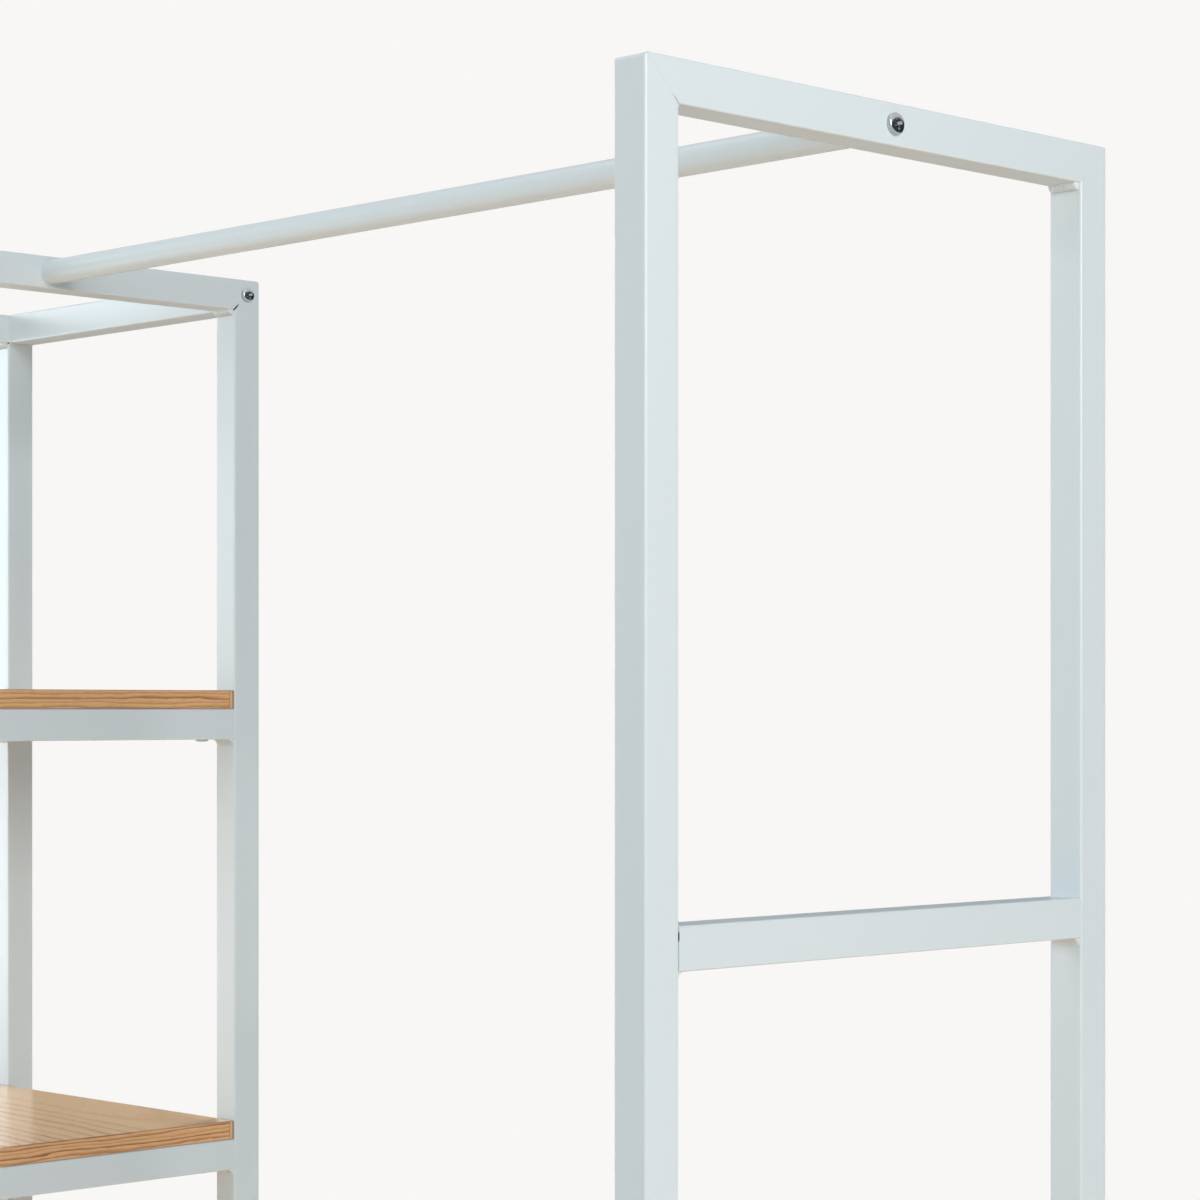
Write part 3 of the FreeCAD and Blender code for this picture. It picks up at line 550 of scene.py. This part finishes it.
def open_with(piece, kind, chosen):
    """Opens a piece for editing with only the chosen faces, edges or points selected."""
    bpy.context.view_layer.objects.active = piece
    bpy.ops.object.mode_set(mode="EDIT")
    bpy.ops.mesh.select_mode(type=kind)
    bpy.ops.mesh.select_all(action="DESELECT")
    bpy.ops.object.mode_set(mode="OBJECT")
    parts = {"FACE": piece.data.polygons, "EDGE": piece.data.edges, "VERT": piece.data.vertices}[kind]
    for part in parts:
        part.select = chosen(part)
    bpy.ops.object.mode_set(mode="EDIT")


def close(piece, sharp_angle):
    """Closes a piece after editing and smooths its faces up to the angle."""
    bpy.ops.object.mode_set(mode="OBJECT")
    bpy.ops.object.select_all(action="DESELECT")
    piece.select_set(True)
    bpy.context.view_layer.objects.active = piece
    bpy.ops.object.shade_smooth_by_angle(angle=sharp_angle)


def cut(piece, tool):
    """Takes the tool's shape out of a piece."""
    modifier = piece.modifiers.new("cut", "BOOLEAN")
    modifier.object = tool
    bpy.context.view_layer.objects.active = piece
    bpy.ops.object.modifier_apply(modifier="cut")
    bpy.data.objects.remove(tool)


def recess_wing(span, width, depth, top, turn):
    """One wing of a cross recess, narrower and shorter at its bottom."""
    bottom_shares = (0.35, 0.55, 1)
    bpy.ops.object.select_all(action="DESELECT")
    bpy.ops.mesh.primitive_cube_add(size=1, scale=(span, width, depth), location=(0, 0, top - depth / 2))
    wing = bpy.context.object
    bpy.ops.object.transform_apply()
    open_with(wing, "FACE", faces_down)
    bpy.ops.transform.resize(value=bottom_shares, center_override=(0, 0, 0))
    bpy.ops.object.mode_set(mode="OBJECT")
    wing.rotation_euler.z = turn
    bpy.ops.object.transform_apply()
    return wing


def pan_head(name, head, rise, squareness, shank, length):
    """A pan head with a cross recess, on a plain shank. Its seat is its own XY plane and it points up. The
    squareness gives its crown: 2 is a low dome, and more makes a steeper side and a flatter top."""
    sides, crown_steps, sharp_angle = 48, 9, math.radians(35)
    rim, overrun = rise * 0.3, rise * 0.1
    span, width, depth = head * 0.6, head * 0.16, rise * 0.58
    bpy.ops.object.select_all(action="DESELECT")
    bpy.ops.mesh.primitive_cylinder_add(vertices=sides, radius=head / 2, depth=rim, location=(0, 0, rim / 2))
    piece = bpy.context.object
    piece.name = name
    bpy.ops.object.transform_apply()
    open_with(piece, "FACE", faces_up)
    radius, height = head / 2, rim
    for step in range(1, crown_steps):
        angle = math.radians(90) * step / crown_steps
        new_radius = head / 2 * math.cos(angle) ** (2 / squareness)
        new_height = rim + (rise - rim) * math.sin(angle) ** (2 / squareness)
        bpy.ops.mesh.inset(thickness=radius - new_radius)
        bpy.ops.transform.translate(value=(0, 0, new_height - height))
        radius, height = new_radius, new_height
    open_with(piece, "FACE", faces_down)
    bpy.ops.mesh.inset(thickness=(head - shank) / 2)
    bpy.ops.mesh.extrude_region_move(TRANSFORM_OT_translate={"value": (0, 0, -length)})
    bpy.ops.object.mode_set(mode="OBJECT")
    for turn in (0, math.pi / 2):
        cut(piece, recess_wing(span, width, depth + overrun, rise + overrun, turn))
    close(piece, sharp_angle)
    return piece


def set_copies(name, pattern, seats):
    """Copies of a pattern, each moved to its seat, joined to one piece."""
    copies = []
    for seat in seats:
        copy = pattern.copy()
        copy.data = pattern.data.copy()
        bpy.context.collection.objects.link(copy)
        copy.matrix_world = seat
        copies.append(copy)
    bpy.ops.object.select_all(action="DESELECT")
    for copy in copies:
        copy.select_set(True)
    piece = copies[0]
    bpy.context.view_layer.objects.active = piece
    bpy.ops.object.transform_apply()
    if len(copies) > 1:
        bpy.ops.object.join()
    piece.name = name
    return piece


def driven_seats(places):
    """Where fasteners sit: a place and the way the head faces. Each stopped turning at its own angle."""
    seats = []
    for number, (place, way) in enumerate(places):
        facing = Vector(way).to_track_quat("Z", "Y").to_matrix().to_4x4()
        stopped = Matrix.Rotation(FIRST_TURN + DRIVEN_TURN * number, 4, "Z")
        seats.append(Matrix.Translation(place) @ facing @ stopped)
    return seats


def fasteners(name, pattern, places, node):
    """A set of zinc-plated fasteners that takes the place of a node of the frame."""
    piece = set_copies(name, pattern, driven_seats(places))
    finish(piece, ZINC)
    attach(piece, "frame")
    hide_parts(node)


def bolts_and_screws():
    """The pan head bolts and screws that hold the frames, rails and boards together."""
    right, left, down = (1, 0, 0), (-1, 0, 0), (0, 0, -1)
    end_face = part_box("end_top_bar")[1].x
    inner_low, inner_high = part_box("inner_top_bar")
    outer_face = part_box("outer_top_bar")[0].x
    bar_height = FRAME_TOP - TUBE_SIDE / 2
    rail_places = [((end_face, 0, bar_height), right), ((inner_low.x, 0, bar_height), left)]
    rail_bolt = pan_head("rail_bolt", RAIL_BOLT_HEAD, BOLT_RISE, PAN_CROWN, RAIL_BOLT_SHANK, BOLT_LENGTH)
    fasteners("rail_bolts", rail_bolt, rail_places, "hanging_rail_bolts")
    corner = HALF_DEPTH - TUBE_SIDE / 2
    corner_places = [
        ((x, y, bar_height), way)
        for y in (corner, -corner)
        for x, way in ((inner_high.x, right), (outer_face, left))
    ]
    frame_bolt = pan_head("frame_bolt", FRAME_BOLT_HEAD, BOLT_RISE, PAN_CROWN, FRAME_BOLT_SHANK, BOLT_LENGTH)
    fasteners("corner_bolts", frame_bolt, corner_places, "cross_bar_bolts")
    bay_middle = middle_of("bay_rear_rail")
    bay_places = [
        ((x, y, bay_middle.z), way)
        for y in (bay_middle.y, -bay_middle.y)
        for x, way in ((end_face, right), (inner_low.x, left))
    ]
    fasteners("bay_bolts", frame_bolt, bay_places, "bay_rail_bolts")
    screw_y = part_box("shelf_screws")[1].y - SCREW_HEAD / 2
    shelf_places = []
    for side in ("outer", "inner"):
        for bar in (*TOWER_RUNGS, "bottom_bar"):
            middle = middle_of(f"{side}_{bar}")
            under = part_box(f"{side}_{bar}")[0].z
            shelf_places += [((middle.x, y, under), down) for y in (screw_y, -screw_y)]
    screw = pan_head("screw", SCREW_HEAD, SCREW_RISE, DOME_CROWN, SCREW_SHANK, SCREW_LENGTH)
    fasteners("shelf_screws_set", screw, shelf_places, "shelf_screws")
    board_low, board_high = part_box("bay_board_screws")
    rail_start = board_low.x + SCREW_HEAD / 2
    rail_end = 2 * bay_middle.x - rail_start
    end_x = board_high.x - SCREW_HEAD / 2
    board_places = [((end_x, y, FRAME_BASE), down) for y in (screw_y, -screw_y)]
    board_places += [
        ((x, y, FRAME_BASE), down) for x in (rail_start, rail_end) for y in (bay_middle.y, -bay_middle.y)
    ]
    fasteners("bay_board_screws_set", screw, board_places, "bay_board_screws")
    for pattern in (rail_bolt, frame_bolt, screw):
        bpy.data.objects.remove(pattern)


def weld_bead(name, leg, profile):
    """A fillet weld along X, in the corner above and behind it, rippled where each drop froze and tapered
    off at both ends. The profile makes its face hollow or full."""
    ripples, cuts_each, ripple_rise = 9, 4, 0.05
    taper, end_size = 0.06, 0.75
    face_share, face_steps, sharp_angle = 0.94, 7, math.radians(50)
    near = WELD_LENGTH / 500
    bpy.ops.object.select_all(action="DESELECT")
    bpy.ops.mesh.primitive_cube_add(size=1, scale=(WELD_LENGTH, leg, leg), location=(0, -leg / 2, -leg / 2))
    bead = bpy.context.object
    bead.name = name
    bpy.ops.object.transform_apply()

    def ends(edge):
        return [bead.data.vertices[number].co for number in edge.vertices]

    open_with(bead, "EDGE", lambda edge: all(max(end.y, end.z) < -leg / 2 for end in ends(edge)))
    bpy.ops.mesh.bevel(offset=leg * face_share, segments=face_steps, profile=profile, affect="EDGES")
    open_with(bead, "EDGE", lambda edge: abs(ends(edge)[0].x - ends(edge)[1].x) > WELD_LENGTH / 2)
    bpy.ops.mesh.subdivide(number_cuts=ripples * cuts_each - 1)
    for step in range(ripples * cuts_each + 1):
        along = step / (ripples * cuts_each)
        station = (along - 0.5) * WELD_LENGTH
        from_end = min(along, 1 - along)
        size = 1 + ripple_rise * math.cos(2 * math.pi * ripples * along)
        if from_end < taper:
            size *= end_size + (1 - end_size) * math.sqrt(1 - (1 - from_end / taper) ** 2)
        open_with(bead, "VERT", lambda point: abs(point.co.x - station) < near)
        bpy.ops.transform.resize(value=(1, size, size), center_override=(0, 0, 0))
    close(bead, sharp_angle)
    return bead


def weld_seats(frame_name, bars, front_share=1):
    """The inner corners under a frame's bars, at both uprights. The front beads may be smaller."""
    inside = HALF_DEPTH - TUBE_SIDE
    front_turn = Matrix.Rotation(math.pi, 4, "Z") @ Matrix.Diagonal((1, front_share, front_share, 1))
    seats = []
    for bar in bars:
        middle = middle_of(f"{frame_name}_{bar}")
        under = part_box(f"{frame_name}_{bar}")[0].z
        seats.append(Matrix.Translation((middle.x, inside, under)))
        seats.append(Matrix.Translation((middle.x, -inside, under)) @ front_turn)
    return seats


def welds():
    """The weld beads of the three ladder frames: full ones in the mitred corners, hollow ones under the
    rungs."""
    rungs = {"end": END_RUNGS, "inner": TOWER_RUNGS, "outer": TOWER_RUNGS}
    corner_weld = weld_bead("corner_weld", CORNER_WELD_LEG, CORNER_WELD_PROFILE)
    rung_weld = weld_bead("rung_weld", RUNG_WELD_LEG, RUNG_WELD_PROFILE)
    for frame_name, bars in rungs.items():
        beads = set_copies("corner_welds", corner_weld, weld_seats(frame_name, ["top_bar"], GROUND_SHARE))
        rung_beads = set_copies("rung_welds", rung_weld, weld_seats(frame_name, bars))
        bpy.ops.object.select_all(action="DESELECT")
        rung_beads.select_set(True)
        beads.select_set(True)
        bpy.context.view_layer.objects.active = beads
        bpy.ops.object.join()
        beads.name = f"{frame_name}_weld_beads"
        finish(beads, BAR_COAT)
        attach(beads, "frame")
        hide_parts(f"{frame_name}_frame_welds")
    for pattern in (corner_weld, rung_weld):
        bpy.data.objects.remove(pattern)


def threaded_stud(name):
    """A foot's stud: a flange whose top is its own XY plane, and a core with a thread wound round it."""
    flange_sides, thread_steps, sharp_angle = 32, 24, math.radians(40)
    # A triangle with equal sides is one and a half times as high as its corners are far from its middle
    core, ridge = STUD_DIAMETER / 2 - THREAD_DEPTH, THREAD_DEPTH / 1.5
    turns = int(STUD_RISE / THREAD_PITCH) - 2
    bpy.ops.object.select_all(action="DESELECT")
    bpy.ops.mesh.primitive_cylinder_add(
        vertices=flange_sides,
        radius=STUD_FLANGE / 2,
        depth=STUD_FLANGE_RISE,
        location=(0, 0, -STUD_FLANGE_RISE / 2),
    )
    stud = bpy.context.object
    stud.name = name
    bpy.ops.object.transform_apply()
    open_with(stud, "FACE", faces_up)
    bpy.ops.mesh.inset(thickness=STUD_FLANGE / 2 - core)
    bpy.ops.mesh.extrude_region_move(TRANSFORM_OT_translate={"value": (0, 0, STUD_RISE)})
    bpy.ops.mesh.bevel(offset=THREAD_DEPTH, segments=2, affect="EDGES")
    bpy.ops.object.mode_set(mode="OBJECT")
    bpy.ops.object.select_all(action="DESELECT")
    bpy.ops.mesh.primitive_circle_add(
        vertices=3,
        radius=ridge,
        location=(core - THREAD_ROOM + ridge / 2, 0, THREAD_PITCH),
        rotation=(math.pi / 2, math.pi / 2, 0),
    )
    thread = bpy.context.object
    bpy.ops.object.transform_apply()
    wound = thread.modifiers.new("wound", "SCREW")
    wound.steps = wound.render_steps = thread_steps
    wound.iterations = turns
    wound.screw_offset = THREAD_PITCH
    bpy.ops.object.modifier_apply(modifier="wound")
    open_with(thread, "FACE", lambda face: True)
    bpy.ops.mesh.fill_holes(sides=3)
    bpy.ops.mesh.select_all(action="SELECT")
    bpy.ops.mesh.normals_make_consistent(inside=False)
    bpy.ops.object.mode_set(mode="OBJECT")
    thread.select_set(True)
    stud.select_set(True)
    bpy.context.view_layer.objects.active = stud
    bpy.ops.object.join()
    close(stud, sharp_angle)
    return stud


def studs():
    """The threaded studs on which the six feet screw in and out."""
    pattern = threaded_stud("stud")
    for spot in [f"{name}_{side}" for name in ("outer", "inner", "end") for side in ("front", "rear")]:
        node = f"foot_{spot}_stud"
        middle, foot = middle_of(node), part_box(node)[0].z
        seat = Matrix.Translation((middle.x, middle.y, foot + STUD_FLANGE_RISE))
        piece = set_copies(f"stud_{spot}", pattern, [seat])
        finish(piece, ZINC)
        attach(piece, f"foot_{spot}")
        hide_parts(node)
    bpy.data.objects.remove(pattern)


def looked_at(tree):
    """Gives 1 on rays from the camera, also by way of gloss or glass, and 0 on rays that only light."""
    ray = add_node(tree, "ShaderNodeLightPath")
    direct = add_node(
        tree,
        "ShaderNodeMath",
        {0: ray.outputs["Is Camera Ray"], 1: ray.outputs["Is Glossy Ray"]},
        operation="MAXIMUM",
    )
    return add_node(
        tree, "ShaderNodeMath", {0: direct, 1: ray.outputs["Is Transmission Ray"]}, operation="MAXIMUM"
    )


def studio_floor():
    """A pale floor that keeps the shadow and runs out into the background. To rays that light, it also glows
    with a warm light of its own, which stands in for bounce and tints what faces down."""
    bpy.ops.object.select_all(action="DESELECT")
    bpy.ops.mesh.primitive_plane_add(size=FLOOR_SIZE)
    floor = bpy.context.object
    floor.name = "studio_floor"
    material, tree, place = new_material("pale_studio_floor")
    distance = add_node(tree, "ShaderNodeVectorMath", {0: place}, operation="LENGTH")
    far = add_node(
        tree,
        "ShaderNodeMapRange",
        {"Value": distance, "From Min": FLOOR_NEAR, "From Max": FLOOR_FAR, "To Min": FLOOR_PALENESS},
        interpolation_type="SMOOTHSTEP",
    )
    warm = add_node(tree, "ShaderNodeBsdfDiffuse", {"Color": srgb("#EEDCC8")})
    # The floor glows here though it is no lamp: a warm light that tints the object's undersides
    glow = add_node(tree, "ShaderNodeEmission", {"Color": srgb("#7D6E5E"), "Strength": 1})
    warm_bounce_and_glow = add_node(tree, "ShaderNodeAddShader", {0: warm, 1: glow})
    pale = add_node(tree, "ShaderNodeBsdfDiffuse", {"Color": srgb("#F4F2EF")})
    background = add_node(tree, "ShaderNodeEmission", {"Color": srgb(BACKGROUND), "Strength": 1})
    seen = add_node(tree, "ShaderNodeMixShader", {0: far, 1: pale, 2: background})
    surface = add_node(tree, "ShaderNodeMixShader", {0: looked_at(tree), 1: warm_bounce_and_glow, 2: seen})
    add_node(tree, "ShaderNodeOutputMaterial", {"Surface": surface})
    finish(floor, material)


def studio_wall():
    """The walls of the studio, far out: pale in front, grey at the sides, with a dark drape behind on the
    right. They show only where the object mirrors them."""
    sides = 64
    grey_from, pale_from = WALL_RADIUS * -0.2, WALL_RADIUS * -0.4
    drape_way = Vector((0.74, 0.67, 0)) / WALL_RADIUS
    drape_edge, drape_full = 0.7, 0.85
    bpy.ops.object.select_all(action="DESELECT")
    bpy.ops.mesh.primitive_cylinder_add(
        vertices=sides,
        radius=WALL_RADIUS,
        depth=WALL_HEIGHT,
        end_fill_type="NOTHING",
        location=(0, 0, WALL_HEIGHT / 2),
    )
    wall = bpy.context.object
    wall.name = "studio_wall"
    wall.visible_camera = False
    wall.visible_diffuse = False
    wall.visible_transmission = False
    wall.visible_shadow = False
    material, tree, place = new_material("painted_studio_wall")
    back = add_node(tree, "ShaderNodeSeparateXYZ", {0: place}).outputs["Y"]
    front = add_node(
        tree, "ShaderNodeMapRange", {"Value": back, "From Min": grey_from, "From Max": pale_from}
    )
    towards_drape = add_node(
        tree, "ShaderNodeVectorMath", {0: place, 1: drape_way}, operation="DOT_PRODUCT"
    )
    drape = add_node(
        tree,
        "ShaderNodeMapRange",
        {"Value": towards_drape, "From Min": drape_edge, "From Max": drape_full},
        interpolation_type="SMOOTHSTEP",
    )
    walls = add_node(
        tree, "ShaderNodeMix", {0: front, MIX_A: srgb("#707476"), MIX_B: srgb("#C4C7C8")}, data_type="RGBA"
    )
    tone = add_node(
        tree, "ShaderNodeMix", {0: drape, MIX_A: walls, MIX_B: srgb("#2C3136")}, data_type="RGBA"
    )
    shown = add_node(tree, "ShaderNodeEmission", {"Color": tone, "Strength": 1})
    add_node(tree, "ShaderNodeOutputMaterial", {"Surface": shown})
    finish(wall, material)


def studio_air():
    """Soft light from all round, strongest at eye level. The camera and reflections see the background."""
    level_sine, dark_sine, level_light = 0.1, 0.8, 0.68
    world = bpy.data.worlds.new("studio_air")
    world.use_nodes = True
    tree = world.node_tree
    tree.nodes.clear()
    direction = add_node(tree, "ShaderNodeTexCoord").outputs["Generated"]
    height = add_node(tree, "ShaderNodeSeparateXYZ", {0: direction}).outputs["Z"]
    level = add_node(
        tree,
        "ShaderNodeMapRange",
        {"Value": height, "From Min": level_sine, "From Max": dark_sine, "To Min": level_light, "To Max": 0},
    )
    light = add_node(tree, "ShaderNodeBackground", {"Color": srgb("#B9DDF1"), "Strength": level})
    background = add_node(tree, "ShaderNodeBackground", {"Color": srgb(BACKGROUND), "Strength": 1})
    air = add_node(tree, "ShaderNodeMixShader", {0: looked_at(tree), 1: light, 2: background})
    add_node(tree, "ShaderNodeOutputWorld", {"Surface": air})
    bpy.context.scene.world = world


def softbox(name, place, aim, width, height, watts, colour):
    """A soft lamp that the camera doesn't see. Gloss mirrors it, unless its name is among the unmirrored."""
    light = bpy.data.lights.new(name, "AREA")
    light.shape = "RECTANGLE"
    light.size, light.size_y = width, height
    light.energy = watts
    light.color = srgb(colour)[:3]
    lamp = bpy.data.objects.new(name, light)
    lamp.location = place
    lamp.rotation_mode = "QUATERNION"
    lamp.rotation_quaternion = (Vector(aim) - Vector(place)).to_track_quat("-Z", "Y")
    lamp.visible_camera = False
    lamp.visible_glossy = name not in UNMIRRORED_LAMPS
    bpy.context.scene.collection.objects.link(lamp)
    return lamp


def studio_lamps():
    """The softboxes round the object and a window on its left. The one behind is narrowed to the tower."""
    lamps = {name: softbox(name, *values) for name, values in LAMPS.items()}
    lamps["softbox_behind"].data.spread = BEHIND_SPREAD


def studio_camera():
    """The camera of the photograph, shifted because the photograph shows only part of what it saw."""
    lens = bpy.data.cameras.new("photo_camera")
    lens.lens = CAMERA_LENS
    lens.shift_x, lens.shift_y = CAMERA_SHIFT
    camera = bpy.data.objects.new("photo_camera", lens)
    camera.location = CAMERA_PLACE
    camera.rotation_euler = CAMERA_TURN
    bpy.context.scene.collection.objects.link(camera)
    bpy.context.scene.camera = camera


ZINC = zinc_plate("bright_zinc_plate")
NYLON = moulded_nylon("moulded_black_nylon")
BAR_COAT = powder_coat("powder_coated_bars", FRAME_ROUGHNESS)

finish_nodes()
bolts_and_screws()
welds()
studs()
studio_floor()
studio_wall()
studio_air()
studio_lamps()
studio_camera()

bpy.context.scene.view_settings.view_transform = "Standard"
